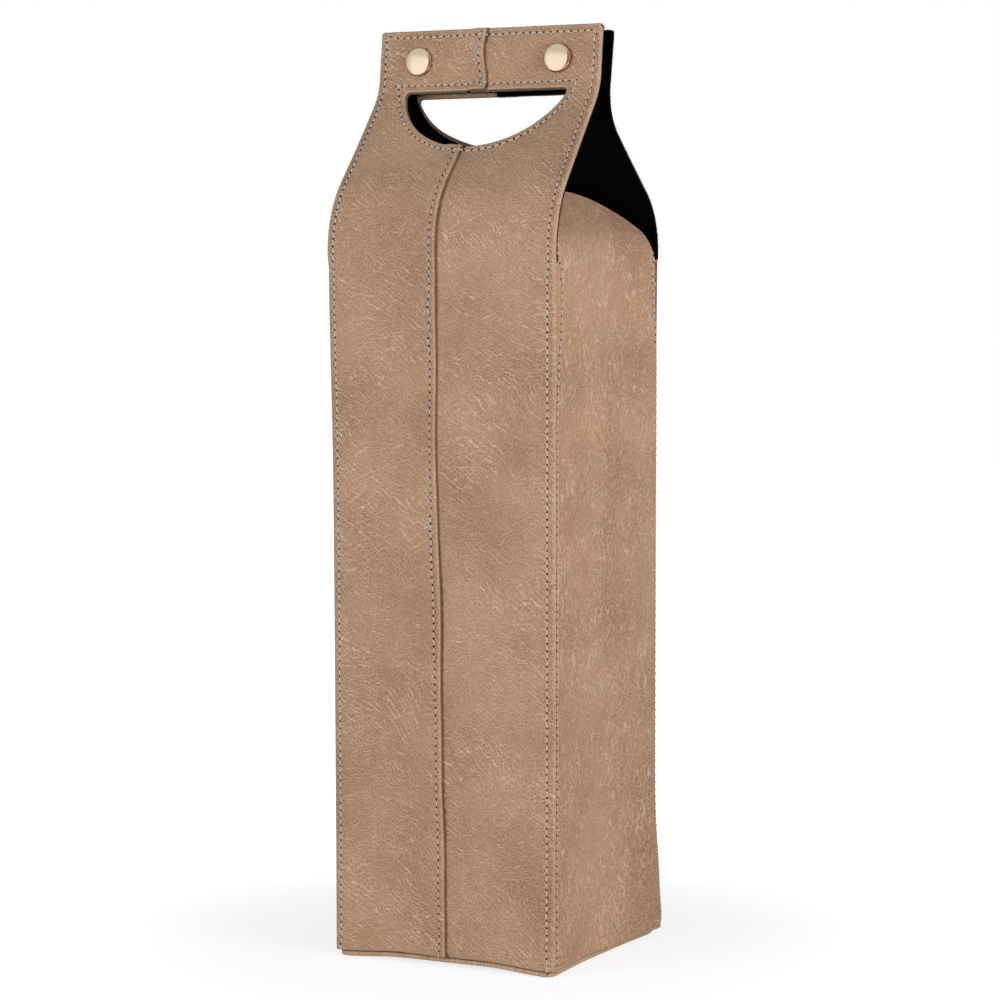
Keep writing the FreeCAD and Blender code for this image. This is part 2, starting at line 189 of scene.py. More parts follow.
def half_moon(line, right=0.0, grow=0.0, lift=0.0):
    """The hand hole's left half, clockwise from its lowest point, begun and ended at a place to the right.

    The round edge may be cut larger and the straight one higher."""
    chord = line.chord + lift
    drop = line.centre - chord + HOLE_CORNER
    reach = math.sqrt((line.moon + grow - HOLE_CORNER) ** 2 - drop ** 2)
    tilt = math.degrees(math.atan2(drop, reach))
    start = 270 + math.degrees(math.asin(right / line.moon))
    moon = arc((0, line.centre), line.moon + grow, start, 180 + tilt, 40)
    tip = arc((-reach, chord - HOLE_CORNER), HOLE_CORNER, 180 + tilt, 90, 8)
    return np.vstack([moon, tip, [(right, chord)]])


def lap_line(station):
    """Where the upper half's free edge runs: not quite upright, with the waves of hand work."""
    drift = 2.3 - 4.0 * smooth(0, 275, station) + 0.9 * smooth(275, 362, station)
    bar = smooth(358, 366, station) * np.cos((station - 367) * 2 * math.pi / 26)
    return drift + bar + 0.22 * np.sin(station / 17) + 0.12 * np.sin(station / 7.3 + 1)


def lapped(low, high):
    """The lap line between two stations, as a path."""
    stations = np.linspace(low, high, max(2, int((high - low) / 3)))
    return np.column_stack([lap_line(stations), stations])


print(f"the lap wanders over {np.ptp(lapped(0, LINES['front'].length)[:, 0]):.1f} mm")

# %% [markdown]
# ## Outlines
#
# Each outline runs anticlockwise, and a hole in it clockwise. Each stretch has a name, because a corner
# seam, a turned edge and a lap all look different, and the surface asks later how far it is from each.

# %% Outlines
TOP_CORNER, TONGUE_HALF = 1.2, 45.5
LAP_UNDER = -7.5                          # edge of the lower half at the middle seam
FOOT_GAP = 0.45                           # dark joint between the walls and the base
FELT_LOW = 4.0                            # station where the felt of the walls begins


def leather_half(line, upper):
    """One leather half of a panel, drawn as the left half. The upper one ends at the lap line."""
    top, corner = line.length, TOP_CORNER
    ends = lap_line(np.array([line.hole_low, line.chord])) if upper else -np.full(2, LAP_UNDER)
    hole = np.vstack([half_moon(line, ends[0])[:-1], [(ends[1], line.chord)]])
    if upper:
        seam, bar_seam = lapped(FOOT_GAP, hole[0][1]), lapped(line.chord, top)
        seam[-1], bar_seam[0] = hole[0], hole[-1]
    else:
        seam = np.array([(ends[0], FOOT_GAP), hole[0]])
        bar_seam = np.array([hole[-1], (ends[1], top)])
    return {
        "foot": np.array([(-HALF, FOOT_GAP), seam[0]]),
        "lap": seam,
        "hole": hole,
        "bar lap": bar_seam,
        "top": np.vstack([bar_seam[-1:], arc((corner - HALF, top - corner), corner, 90, 180, 8)]),
        "side": np.array([(-HALF, top - corner), (-HALF, FOOT_GAP)]),
    }


def side_leather(half, arch_half, reach):
    """A side panel with its tongue: straight sides to the end of the corner seams, then an arch."""
    end = SEAM_END - 1.5
    arch = arc((0, SEAM_END), (arch_half, reach), 1, 179, 70)
    return {
        "foot": np.array([(-half, FOOT_GAP), (half, FOOT_GAP)]),
        "side": np.array([(half, FOOT_GAP), (half, end)]),
        "arch": np.vstack([[(half, end)], arch, [(-half, end)]]),
        "far side": np.array([(-half, end), (-half, FOOT_GAP)]),
    }


def felt_lining(line, inset):
    """The felt behind a panel: narrow inside the body, full width above the corner seams."""
    half, top, corner = HALF - inset, line.length - inset, TOP_CORNER
    right = np.vstack([
        [(INSIDE, SEAM_END), (half, SEAM_END + 1)],
        arc((half - corner, top - corner), corner, 0, 90, 8)])
    foot = np.array([(-INSIDE, FELT_LOW), (INSIDE, FELT_LOW)])
    return {"foot": foot, "free": np.vstack([foot[1:], right, right[::-1] * (-1, 1), foot[:1]])}


def whole_moon(line, grow, lift, right_lift):
    """The hand hole as a closed loop, clockwise, so that it stays empty. Its halves are cut by eye."""
    left, right = half_moon(line, 0.0, grow, lift), half_moon(line, 0.0, grow, right_lift)
    return {"hole": np.vstack([left, right[-1:0:-1] * (-1, 1), left[:1]])}


print("stretches round a panel half:", ", ".join(leather_half(LINES["front"], True)))

# %% [markdown]
# ## Points inside an outline
#
# A cut piece becomes a mesh in four moves, and this is the first. Points are strewn inside the outline:
# in rings close to the edge, where the form turns fast, and in an even grid further in. A plain grid
# with Subdivision Surface would need far more faces for the same small roll at the edge.

# %% Points inside an outline
RIM_STEP = 1.3                            # between the points along an outline


def evenly(path, step):
    """Points along a path, its last corner left out."""
    rows = []
    for a, b in zip(path[:-1], path[1:]):
        count = math.ceil(np.linalg.norm(b - a) / step - 1e-6)
        rows.append(a + (b - a) * np.linspace(0, 1, count, endpoint=False)[:, None])
    return np.vstack(rows)


def distance(points, path):
    """How far each point is from a path."""
    best = np.full(len(points), np.inf)
    for a, b in zip(path[:-1], path[1:]):
        along = b - a
        t = np.clip((points - a) @ along / max(along @ along, 1e-12), 0, 1)
        best = np.minimum(best, np.linalg.norm(points - a - t[:, None] * along, axis=1))
    return best


def inside(points, loops):
    """Which points are inside the loops, counted by crossings."""
    odd = np.zeros(len(points), bool)
    x, y = points.T
    for loop in loops:
        for (ax, ay), (bx, by) in zip(loop, np.roll(loop, -1, axis=0)):
            if ay != by:
                odd ^= ((ay > y) != (by > y)) & (x < ax + (y - ay) * (bx - ax) / (by - ay))
    return odd


def well_inside(points, loops, least):
    """Which points are inside the loops and at least that far from them."""
    gap = np.min([distance(points, np.vstack([loop, loop[:1]])) for loop in loops], axis=0)
    return inside(points, loops) & (gap >= least)


def unit(vectors):
    """The same directions with length one."""
    return vectors / np.linalg.norm(vectors, axis=1)[:, None]


def strewn(loops, rings, spacing):
    """Points for one face of a sheet: the loops themselves, rings beside them and a grid inside."""
    kept = [*loops]
    for loop in loops:
        along = unit(unit(np.roll(loop, -1, axis=0) - loop) + unit(loop - np.roll(loop, 1, axis=0)))
        inward = np.column_stack([-along[:, 1], along[:, 0]])
        for ring in rings:
            beside = (loop + inward * ring)[:: 1 if ring < 1.6 else 2]
            kept.append(beside[well_inside(beside, loops, ring - 0.04)])
    (left, low), (right, high) = np.vstack(loops).min(axis=0), np.vstack(loops).max(axis=0)
    columns, rows = np.arange(left, right, spacing), np.arange(low, high, spacing * 0.87)
    grid = np.array([(x + (row % 2) * spacing / 2, y) for row, y in enumerate(rows) for x in columns])
    kept.append(grid[well_inside(grid, loops, (rings[-1] if rings else 0) + spacing * 0.6)])
    return np.vstack(kept)


disc = [evenly(arc((0, 0), 10, 0, 360, 48), RIM_STEP)]
dots = strewn(disc, (0.3, 1.0), 2.6)
print("a disc of 20 mm gets", len(dots), "points")

# %% [markdown]
# ## Triangles and objects
#
# The second move joins the points by a Delaunay triangulation, which makes the plumpest triangles it
# can and keeps the outline as edges. A mesh also keeps two things for its material: the flat pattern as
# a UV map, so that the grain bends with the leather, and the distance from the edge.

# %% Triangles and objects
def joined(points, loops):
    """Triangles between points, inside the loops, with the loops as edges."""
    edges, start = [], 0
    for loop in loops:
        ids = np.arange(start, start + len(loop))
        edges += list(zip(ids.tolist(), np.roll(ids, -1).tolist()))
        start += len(loop)
    made = geometry.delaunay_2d_cdt([Vector(p) for p in points], edges, [], 1, 1e-5)
    places = np.array([tuple(v) for v in made[0]])
    triangles = np.array([f for f in made[2] if len(f) == 3])
    triangles = triangles[inside(places[triangles].mean(axis=1), loops)]
    now = {old: new for new, olds in enumerate(made[3]) for old in olds}
    return places, triangles, [now[old] for old in range(start)]


def linked(name, data):
    """A new object in the scene."""
    made = bpy.data.objects.new(name, data)
    bpy.context.scene.collection.objects.link(made)
    return made


def mesh_object(name, points, faces, uv=None, edge=None):
    """A smooth mesh from points in millimetres, with its flat pattern as UV and its edge distance kept."""
    mesh = bpy.data.meshes.new(name)
    mesh.from_pydata((points * MM).tolist(), [], faces)
    mesh.shade_smooth()
    if uv is not None:
        corners = np.empty(len(mesh.loops), int)
        mesh.loops.foreach_get("vertex_index", corners)
        mesh.uv_layers.new(name="flat").data.foreach_set("uv", (uv[corners] * MM).ravel())
    if edge is not None:
        mesh.attributes.new("edge", "FLOAT", "POINT").data.foreach_set("value", edge)
    return linked(name, mesh)


print("and", len(joined(dots, disc)[1]), "triangles")

# %% [markdown]
# ## Sheets
#
# The third move is a height field: it pushes each flat point to its depth, so an edge can roll over, a
# stitch row can pull in and a lap can rise. The fourth gives the outline a wall and a back. Solidify
# could do that too, but it would copy every small dent to the back, which nobody sees. Here the back
# is coarse and plain, and the piece is still a closed sheet.

# %% Sheets
SEWN, SEWN_GAP = ("side", "far side", "rim"), 0.6    # sewn edges, which get no painted shade and less painted highlight
RINGS = (0.12, 0.3, 0.55, 0.8, 1.05, 1.3, 1.45, 1.6, 1.85, 2.2, 2.6, 3.0, 3.4, 3.9, 4.6, 5.6)
BACK_SPACING = 7.0


def sheet(name, outlines, place, face, back, rings=RINGS, spacing=2.6,
          mirror=False, flip=False, shift=(0, 0)):
    """A closed sheet. Face and back give depths from flat points and their distances to named edges."""
    loops = [np.vstack([evenly(path, RIM_STEP) for path in outline.values()]) for outline in outlines]
    paths = {label: path for outline in outlines for label, path in outline.items()}

    def formed(points, depth):
        """One face of the sheet: its places on the bag, its flat pattern and its edge distances."""
        gaps = {label: distance(points, path) for label, path in paths.items()}
        edge = np.min([gap + SEWN_GAP * (label in SEWN) for label, gap in gaps.items()], axis=0)
        pattern = points * (-1, 1) if mirror else points
        return place(*pattern.T, depth(points, gaps)), pattern, edge

    flat, triangles, rim = joined(strewn(loops, rings, spacing), loops)
    under, under_triangles, under_rim = joined(strewn(loops, (), BACK_SPACING), loops)
    top, low = formed(flat, face), formed(under, back)
    count = len(flat)
    faces = triangles.tolist() + (under_triangles[:, ::-1] + count).tolist()
    start = 0
    for loop in loops:
        ids = range(start, start + len(loop))
        for a, b in zip(ids, [*ids[1:], ids[0]]):
            faces.append([rim[b], rim[a], under_rim[a] + count, under_rim[b] + count])
        start += len(loop)
    if mirror != flip:
        faces = [corners[::-1] for corners in faces]
    points, pattern, edge = (np.concatenate(both) for both in zip(top, low))
    return mesh_object(name, points, faces, pattern + shift, edge)


print("the rings of a sheet reach", RINGS[-1], "mm in from its edge")

# %% [markdown]
# ## Heights on the leather
#
# These small functions describe what a maker's hands do to leather. A turned edge rolls through a
# quarter circle. A creasing iron leaves a fine line beside it. Stitches pull the leather in along
# their row and leave a soft welt between row and edge. The board behind isn't quite flat, so long
# gentle waves run over the whole panel; they come from a few sine waves with a fixed seed. Sculpting
# would give the same forms, but not the same ones on every run.

# %% Heights
EDGE_ROLL, CORNER_ROLL, FOOT_ROLL = 1.0, 1.8, 1.4
STITCH_ROW = 3.0                          # stitches, in from an edge
CREASE = 1.55                             # line of the creasing iron, in from a free edge
LONGEST_WAVE = 110


def bump(value, at, width):
    """A soft hump of height one."""
    return np.exp(-((value - at) / width) ** 2)


def roll(gap, radius):
    """Depth of a rounded edge at a distance in from it."""
    t = np.clip(1 - gap / radius, 0, 1)
    return radius * (1 - np.sqrt(1 - t * t))


def stitched(gap):
    """A soft welt, the line of the creasing iron and the pulled-in stitch row beside an edge."""
    return 0.26 * bump(gap, STITCH_ROW, 0.5) + 0.3 * bump(gap, CREASE, 0.17) - 0.12 * bump(gap, 2.1, 0.6)


def waves(points, seed, height=0.22):
    """Long gentle waves over a panel."""
    dice = np.random.default_rng(seed)
    total = np.zeros(len(points))
    for _ in range(9):
        length, heading = dice.uniform(28, LONGEST_WAVE), dice.uniform(0, math.pi)
        phase = dice.uniform(0, 2 * math.pi)
        across = points @ (math.cos(heading), math.sin(heading))
        total += height * length / LONGEST_WAVE * np.sin(2 * math.pi * across / length + phase)
    return total


print(f"a stitch row lies {stitched(np.array([STITCH_ROW]))[0]:.2f} mm deep")

# %% [markdown]
# ## Panel faces
#
# A panel has two leather halves. The upper one is turned under at the middle and lies on the lower one,
# so it rises there by the thickness of the leather. The lower one dips a little beside that edge, where
# the seam pulls. Both use the same waves, because they lie on the same board: with waves of their own,
# one half would come up through the other.

# %% Panel faces
LAP_ROW = 2.8                             # seam stitches, in from the lap's edge
LEATHER_BACK = SKIN - 0.05                # just short of the felt
LAP_START, LAP_FLAT = 4.5, 10.0           # where the upper half begins and ends to sink to the board


def lap_rise(gap):
    """How far the upper half stands off the board at a distance from its free edge."""
    return LEATHER * (1 - smooth(LAP_START, LAP_FLAT, gap))


def panel_face(points, gaps, seed, turn=1):
    """Depth of a panel half without its lap: rolled edges, rows and the waves of the whole panel."""
    flap = smooth(SEAM_END - 4, SEAM_END + 4, points[:, 1])
    corner = (1 - flap) * roll(gaps["side"], CORNER_ROLL) + flap * roll(gaps["side"], EDGE_ROLL)
    free = np.minimum(gaps["top"], gaps["hole"])
    edge = np.maximum.reduce([corner, roll(free, EDGE_ROLL), roll(gaps["foot"], FOOT_ROLL)])
    row = stitched(np.minimum(free, gaps["side"]))
    calm = smooth(3, 14, np.minimum(np.minimum(free, gaps["side"]), gaps["foot"]))
    pillow = 0.6 * np.clip(1 - gaps["side"] / 9, 0, 1) ** 2 * (1 - flap)
    return edge + row + pillow + waves(points * (turn, 1), seed) * calm


def upper_face(points, gaps, seed):
    """A panel half whose middle edge is turned under and laps over the other half."""
    gap = np.minimum(gaps["lap"], gaps["bar lap"])
    row, welt, crease = bump(gap, LAP_ROW, 0.5), bump(gap, 1.0, 0.6), bump(gap, 1.75, 0.2)
    seam = 0.45 * row - 0.3 * welt + 0.2 * crease + roll(gap, 0.9)
    return panel_face(points, gaps, seed) - lap_rise(gap) + seam


def lower_face(points, gaps, seed):
    """A panel half that dips a little beside the lap on it. Its points are drawn mirrored."""
    beside = -points[:, 0] - lap_line(points[:, 1])
    return panel_face(points, gaps, seed, -1) + 0.75 * bump(beside, 0.2, 0.6)


def upper_back(points, gaps):
    """The back of the upper half lies on the board, and on the lower half where it laps."""
    return np.where(points[:, 0] > LAP_UNDER - 0.4, 0.02, LEATHER_BACK)


def flat_back(depth):
    """A back that lies at one depth."""
    return lambda points, gaps: np.full(len(points), depth)


print(f"the lap stands {lap_rise(0.0):.1f} mm proud")

# %% [markdown]
# ## A bag that has settled
#
# A bag that has stood and been carried isn't square any more. The base bows up between its corners, the
# rear right corner is pressed round and swells, the left side leans a little, and the back bar is drawn
# down. A lattice could bend the finished bag, but the stitches are laid on the leather later and have
# to find it bent already. So one function moves every point of every layer by the same small sag. For
# the round corner, a square of the ground plan is mapped to a quarter of a disc.

# %% A bag that has settled
TURN = {"front": 0, "back": 180, "right": 90, "left": -90}
ROUND = 9.0                               # radius of the pressed corner


def settled(points):
    """Points of the bag after its small sag and swell."""
    x, y, z = points.T
    body, soft = 1 - smooth(300, 345, z), 1 - smooth(240, 288, z)

    # The base bows up between its corners, more along the front and back than along the sides.
    wide, deep = (1 - smooth(18, 49, np.abs(axis)) for axis in (x, y))
    beside, before = (smooth(20, 48, np.abs(axis)) for axis in (x, y))
    bow = (1 - smooth(0, 60, z)) * (1.7 * wide * before + 0.4 * deep * beside)

    # The rear right corner swells, most of all near the foot, and is pressed round.
    swell = smooth(0, 50, x) * smooth(-20, 50, y) * (
        1.1 * body + 2.0 * soft + 2.0 * bump(z, 20, 24) + 1.4 * bump(z, 6, 9))
    u, v = (np.clip((axis - HALF) / ROUND + 1, 0, 1) for axis in (x, y))
    x = x + soft * ROUND * u * (np.sqrt(1 - v * v / 2) - 1)
    y = y + soft * ROUND * v * (np.sqrt(1 - u * u / 2) - 1)

    # The left side leans, the bars rise to the right and the back bar is drawn down.
    lean = smooth(0, 50, -x) * (1 - smooth(0, 280, z) - 1.5 * bump(z, 282, 55) * body)
    skew = 0.008 * x * smooth(300, 350, z) - 1.1 * smooth(335, 370, z) * smooth(-2, 5, y)
    return np.column_stack([x + 0.85 * swell + lean, y + 0.5 * swell, z + bow + skew])


def on_side(side):
    """A function that places flat points and depths on one side of the bag."""
    line, angle = LINES[side], math.radians(TURN[side])
    c, s = math.cos(angle), math.sin(angle)
    turn = np.array([[c, s, 0], [-s, c, 0], [0, 0, 1]])
    return lambda across, station, depth: settled(line.place(across, station, depth) @ turn)


corner = np.array([[HALF, HALF, 0.0]])
print(f"the rear right corner moves by {np.linalg.norm(settled(corner) - corner):.1f} mm at the floor")

# %% [markdown] ## Leather panels, front and back  The front and back are the show sides: two leather
# halves each, with a lapped seam that isn't quite straight. The back is made like the front, on a line
# of its own, and turned half round. The board is hidden inside the leather's turned edges, so the
# upper half stands for it too.

# %% Leather panels
def stands_for(piece, slot, *nodes):
    """Puts a new piece in the place of CAD nodes."""
    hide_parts(*nodes)
    print(piece.name, len(piece.data.polygons), "faces")


leather = {}
for number, side in enumerate(FACES):
    halves = ("left", "right") if side == "front" else ("right", "left")
    upper_name, lower_name = (f"{side}_{half}_leather" for half in halves)
    seed, apart = 10 + number, 400 * number
    upper = sheet(
        upper_name, [leather_half(LINES[side], True)], on_side(side),
        lambda p, g: upper_face(p, g, seed), upper_back, shift=(apart, 0))
    lower = sheet(
        lower_name, [leather_half(LINES[side], False)], on_side(side),
        lambda p, g: lower_face(p, g, seed), flat_back(LEATHER_BACK), mirror=True, shift=(apart + 150, 90))
    leather[side] = [upper, lower]
    for piece, half in zip(leather[side], halves):
        boards = [f"{side}_board", f"{side}_flap_board"] if piece is upper else []
        stands_for(piece, "taupe_leather", f"{side}_{half}_panel", f"{side}_{half}_flap", *boards)

# %% [markdown]
# ## Side panels and tongues
#
# A side panel lies between the front and back panels and ends in an arched tongue without a board,
# only leather and felt. Its edges in the corner seams have a small roll, which leaves a fine dark line
# beside the bigger roll of the front panel. The arch has a free turned edge. It is one sheet, like a
# panel half, because the real piece is cut in one too.

# %% Side panels
SIDE_HALF = HALF - 1.9


def side_pillow(seam):
    """How far a side panel sinks towards its corner seams."""
    return 0.55 * np.clip(1 - seam / 10, 0, 1) ** 2


def side_face(points, gaps, seed):
    """Depth of a side panel: small rolls in the seams, a free roll round the arch."""
    seam = np.minimum(gaps["side"], gaps["far side"])
    edge = np.maximum.reduce([roll(seam, 0.6), roll(gaps["arch"], EDGE_ROLL), roll(gaps["foot"], FOOT_ROLL)])
    calm = smooth(2, 14, np.minimum(np.minimum(seam, gaps["arch"]), gaps["foot"]))
    crease = 0.15 * bump(gaps["arch"], CREASE, 0.16)
    return edge + crease + side_pillow(seam) + waves(points, seed, 0.3) * calm


for number, side in enumerate(SIDES):
    piece = sheet(
        f"{side}_side_leather", [side_leather(SIDE_HALF, TONGUE_HALF, TONGUE_REACH)], on_side(side),
        lambda p, g: side_face(p, g, 30 + number), flat_back(LEATHER_BACK), shift=(300 * number + 130, 700))
    leather[side] = [piece]
    stands_for(piece, "taupe_leather", f"{side}_side_panel", f"{side}_side_board", f"{side}_tongue_panel")

# %% [markdown]
# ## Felt
#
# The lining is one thick felt per wall, glued to the board. Its cut edge shows all round the flaps and
# tongues as a black line behind the leather, and it was cut by eye: the front felt stops a little short
# of the leather, the back one stands out past it. Each is a sheet like the leather, seen from the other
# side, so its face is the deeper one and its triangles are flipped. A plain sheet lies on the base.

# %% Felt
FELT_RINGS, FELT_SPACING = (0.2, 0.5, 0.9, 1.6, 3.0), 4.0
FELT_BACK = SKIN - 0.02                   # where the felt is glued on
FELT_CUT = {"front": (0.15, 0.3, 0.3, 0.3), "back": (-0.5, 0.4, 0.2, 1.8)}    # inset, then the hand hole
UNEVEN = 0.06


def felt_face(points, gaps, seed):
    """The felt's inner face: a soft round edge and a slightly uneven thickness."""
    edge = np.min(list(gaps.values()), axis=0)
    return WALL - roll(edge, 0.6) + waves(points, seed, UNEVEN) * smooth(0.5, 6, edge)


def wall_felt(name, side, seed, *outlines):
    """The lining of one wall."""
    return sheet(name, outlines, on_side(side), lambda p, g: felt_face(p, g, seed), flat_back(FELT_BACK),
                 FELT_RINGS, FELT_SPACING, flip=True)


felt = {}
for number, side in enumerate(FACES):
    inset, *cut = FELT_CUT[side]
    felt[side] = wall_felt(
        f"{side}_felt", side, 40 + number, felt_lining(LINES[side], inset), whole_moon(LINES[side], *cut))
    stands_for(felt[side], "black_felt", f"{side}_lining", f"{side}_flap_lining")
for number, side in enumerate(SIDES):
    outline = side_leather(INSIDE, TONGUE_HALF - 0.15, TONGUE_REACH - 0.15)
    felt[side] = wall_felt(f"{side}_side_felt", side, 50 + number, outline)
    stands_for(felt[side], "black_felt", f"{side}_side_lining", f"{side}_tongue_lining")

low, high = (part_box("base_lining")[end].z / MM for end in (0, 1))
square = np.array([(-1, -1), (1, -1), (1, 1), (-1, 1), (-1, -1)]) * INSIDE
felt["base"] = sheet(
    "base_felt", [{"rim": square}], lambda x, y, depth: settled(np.column_stack([x, y, high + depth])),
    lambda p, g: waves(p, 60, UNEVEN), flat_back(low - high), FELT_RINGS, FELT_SPACING)
stands_for(felt["base"], "black_felt", "base_lining")

# %% [markdown]
# ## Base
#
# Under the walls is a plate covered with the same leather. It shows as a thin strip, set in a little,
# with a dark joint above it. It could be a cube with a Bevel, but it has to sag with the walls, and a
# sheet has the points for that. It is stiffer than they are, so it follows them only in part.

# %% Base
BASE_HALF, BASE_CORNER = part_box("base_panel")[1].x / MM, 4.0
BASE_RINGS, BASE_SPACING = (0.12, 0.3, 0.55, 0.9, 2.0), 6.0


def rounded_square(half, corner):
    """A closed square path with round corners, anticlockwise."""
    inner = half - corner
    ring = np.vstack([arc((x * inner, y * inner), corner, start, start + 90, 8)
                      for x, y, start in ((1, 1, 0), (-1, 1, 90), (-1, -1, 180), (1, -1, 270))])
    return np.vstack([ring, ring[:1]])


def partly_settled(points):
    """The base takes the sag in height, and half of it sideways."""
    return points + (settled(points) - points) * (0.5, 0.5, 1.0)


base = sheet(
    "base_leather", [{"rim": rounded_square(BASE_HALF, BASE_CORNER)}],
    lambda x, y, depth: partly_settled(np.column_stack([x, y, depth])),
    lambda p, g: roll(g["rim"], 0.8), flat_back(FOOT - 0.05),
    BASE_RINGS, BASE_SPACING, flip=True, shift=(900, 900))
stands_for(base, "taupe_leather", "base_panel")

# %% [markdown]
# ## A small language for nodes
#
# Shader maths is hard to read as a list of nodes and links. This class wraps one socket, so that a sum
# is written as a sum and the nodes are added behind the scenes. One method adds any other node, with
# its settings first and then its sockets. The same class builds the Geometry Nodes trees further down.

# %% Node helper
class Flow:
    """One output socket of a node tree. Arithmetic on it adds Math nodes."""

    def __init__(self, tree, socket=None):
        self.tree, self.socket = tree, socket

    def node(self, kind, settings=None, sockets=None, out=0):
        """Adds a node and gives one of its outputs. Sockets are values or other flows."""
        made = self.tree.nodes.new(kind)
        for name, value in (settings or {}).items():
            setattr(made, name, value)
        for name, value in (sockets or {}).items():
            for each in value if isinstance(value, list) else [value]:
                if isinstance(each, Flow):
                    self.tree.links.new(each.socket, made.inputs[name])
                else:
                    made.inputs[name].default_value = each
        return Flow(self.tree, made.outputs[out] if made.outputs else None)

    def other(self, out):
        """Another output of the same node."""
        return Flow(self.tree, self.socket.node.outputs[out])

    def math(self, operation, *values):
        return self.node("ShaderNodeMath", {"operation": operation}, dict(enumerate(values)))

    def __add__(self, other):
        return self.math("ADD", self, other)

    def __sub__(self, other):
        return self.math("SUBTRACT", self, other)

    def __rsub__(self, other):
        return self.math("SUBTRACT", other, self)

    def __mul__(self, other):
        return self.math("MULTIPLY", self, other)

    __radd__, __rmul__ = __add__, __mul__

    def ramp(self, low, high):
        """Zero at low and one at high, with an easy change between. Low may be the larger."""
        return self.node("ShaderNodeMapRange", {"interpolation_type": "SMOOTHSTEP"}, {
            "Value": self, "From Min": low, "From Max": high})

    def vector(self, operation, *values):
        scale = {"Scale": values[1]} if operation == "SCALE" else {1: values[1]}
        return self.node("ShaderNodeVectorMath", {"operation": operation}, {0: values[0], **scale})

    def xyz(self, **parts):
        """A vector from its parts."""
        return self.node("ShaderNodeCombineXYZ", None, parts)

    def mixed(self, factor, first, second):
        """Two colours mixed by a factor."""
        return self.node("ShaderNodeMix", {"data_type": "RGBA"}, {0: factor, 6: first, 7: second}, 2)

    def place(self):
        """Object coordinates, in metres."""
        return self.node("ShaderNodeTexCoord", None, None, 3)

    def edge(self):
        """The edge distance kept in a mesh, in millimetres."""
        return self.node("ShaderNodeAttribute", {"attribute_name": "edge"}, None, 2)

    def noise(self, place, scale, detail=2.0, roughness=0.5, out=0):
        return self.node("ShaderNodeTexNoise", None, {
            "Vector": place, "Scale": scale, "Detail": detail, "Roughness": roughness}, out)

    def stretched(self, place, degrees, scale):
        """Coordinates turned in the plane, then scaled, so that a pattern gets a direction."""
        return self.node("ShaderNodeMapping", {"vector_type": "TEXTURE"}, {
            "Vector": place, "Rotation": (0, 0, math.radians(degrees)), "Scale": scale})

    def bumps(self, height, strength, distance):
        """A normal that follows a height."""
        return self.node("ShaderNodeBump", None, {
            "Strength": strength, "Distance": distance, "Height": height})


print("a flow has", ", ".join(name for name in vars(Flow) if not name.startswith("_")))

# %% [markdown]
# ## A new material
#
# Leather, felt and metal all start from one Principled BSDF, which can be any of them. What is the same
# all over a piece is set on the shader's own sockets, by name. What changes from place to place is
# linked to it.

# %% A new material
def surface(name, **values):
    """A new material: its flow for adding nodes, and a function that links a flow to a shader socket."""
    material = bpy.data.materials.new(name)
    material.use_nodes = True
    shader = material.node_tree.nodes["Principled BSDF"]
    for socket, value in values.items():
        shader.inputs[socket.replace("_", " ")].default_value = value

    def link(flow, socket):
        material.node_tree.links.new(flow.socket, shader.inputs[socket])

    return material, Flow(material.node_tree), link


def colour(red, green, blue):
    return (red, green, blue, 1.0)


print("materials of the frame:", ", ".join(each.name for each in bpy.data.materials))

# %% [markdown]
# ## Leather
#
# The hide has three scales. Clouds a few centimetres wide shift the tone. Creases run across it in
# strands, paler than the rest because the finish has lifted there. Small cells and a fine grain cover
# everything. Streaks of a stretched noise would look like fur, so a strand is a contour line of a
# slope, like the lines on a map: the distance across the heading, pushed about by noises. The lines run
# side by side, wander and fade, and a second set crosses the first in other patches. All of it reads
# the flat pattern in the UV map, so it bends with the leather. The edge distance kept in the mesh paints
# a highlight along the turned edges and a shade right at each edge and under it. The sides have a
# slightly paler, warmer tone, with larger cells and fewer strands.

# %% Leather material
# Tones of the creases, then of the painted highlight and the painted shade at the edges.
CREASE_TONE, EDGE_HIGHLIGHT_TONE, EDGE_SHADE_TONE = (0.76, 0.535, 0.372), (0.60, 0.41, 0.285), (0.05, 0.027, 0.015)


